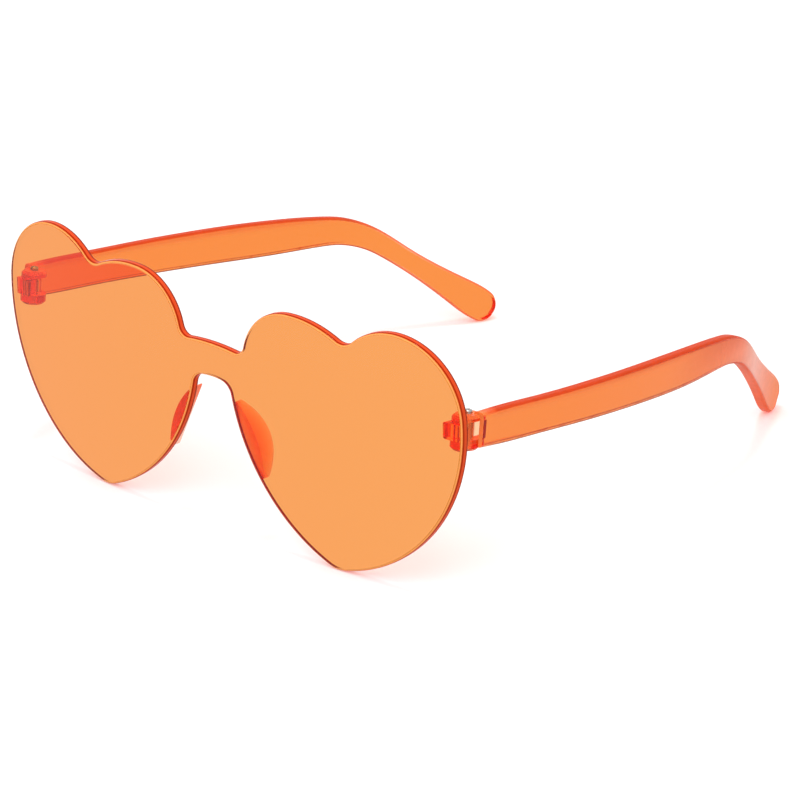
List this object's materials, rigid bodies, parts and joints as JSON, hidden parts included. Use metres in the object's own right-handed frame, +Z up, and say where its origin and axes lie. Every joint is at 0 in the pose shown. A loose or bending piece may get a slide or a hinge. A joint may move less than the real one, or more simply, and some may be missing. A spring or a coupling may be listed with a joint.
{
  "type": "heart shaped sunglasses",
  "caption": "Rimless one-piece sunglasses of tinted clear plastic, a curved double heart lens with nose pads and folding temples on hinge screws.",
  "frame": {"origin": "on the table, under the middle of the box round the open glasses", "axes": "+Y from the lens back to the temple tips, +Z up, +X to the wearer's left"},
  "size_m": [0.147, 0.1476, 0.0604],
  "materials": {
    "lens": "polished clear tint",
    "fittings": "polished clear tint",
    "temple": "polished clear tint",
    "screw": "bright steel"
  },
  "bodies": {
    "front": {"lens_shield": "lens", "nose_pad_left": "fittings", "nose_pad_right": "fittings", "end_piece_left": "fittings", "end_piece_right": "fittings"},
    "temple_left": {"temple_left": "temple", "hinge_screw_left": "screw"},
    "temple_right": {"temple_right": "temple", "hinge_screw_right": "screw"}
  },
  "joints": [
    {"name": "temple_left_fold", "type": "hinge", "parent": "front", "child": "temple_left", "pos_m": [0.0694, -0.06338, 0.04044], "axis": [0, 0.1036, 0.9946], "range_deg": [0, 78]},
    {"name": "temple_right_fold", "type": "hinge", "parent": "front", "child": "temple_right", "pos_m": [-0.0694, -0.06338, 0.04044], "axis": [0, -0.1036, -0.9946], "range_deg": [0, 62]}
  ]
}
